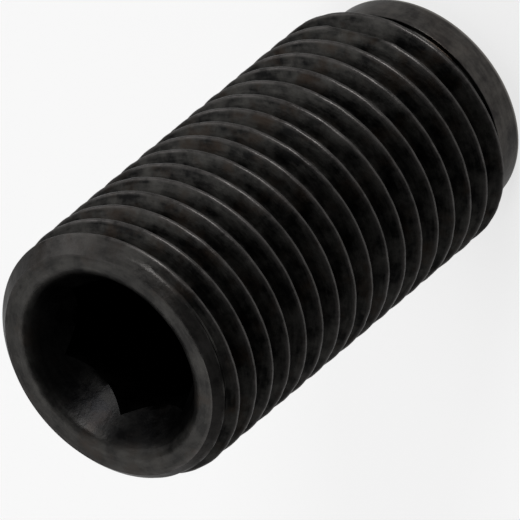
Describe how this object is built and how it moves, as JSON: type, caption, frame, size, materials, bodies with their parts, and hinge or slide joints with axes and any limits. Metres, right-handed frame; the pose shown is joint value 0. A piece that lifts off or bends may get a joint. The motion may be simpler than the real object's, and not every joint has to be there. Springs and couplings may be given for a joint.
{
  "type": "hexagon socket set screw",
  "caption": "Headless adjusting screw in black steel: fine right-hand thread over its length, countersunk hexagon socket in one end, thread relief and short plain flat point at the other.",
  "frame": {"origin": "centre of the flat of the point, which the screw stands on", "axes": "+Z along the screw's axis towards the socket end, -Y is the front, and the hexagon has two of its corners on the X axis"},
  "size_m": [0.0118, 0.0118, 0.0235],
  "materials": {
    "black_steel": "black oxide, lightly oiled, crests rubbed brighter"
  },
  "bodies": {
    "root": {"set_screw": "black_steel"}
  },
  "joints": []
}
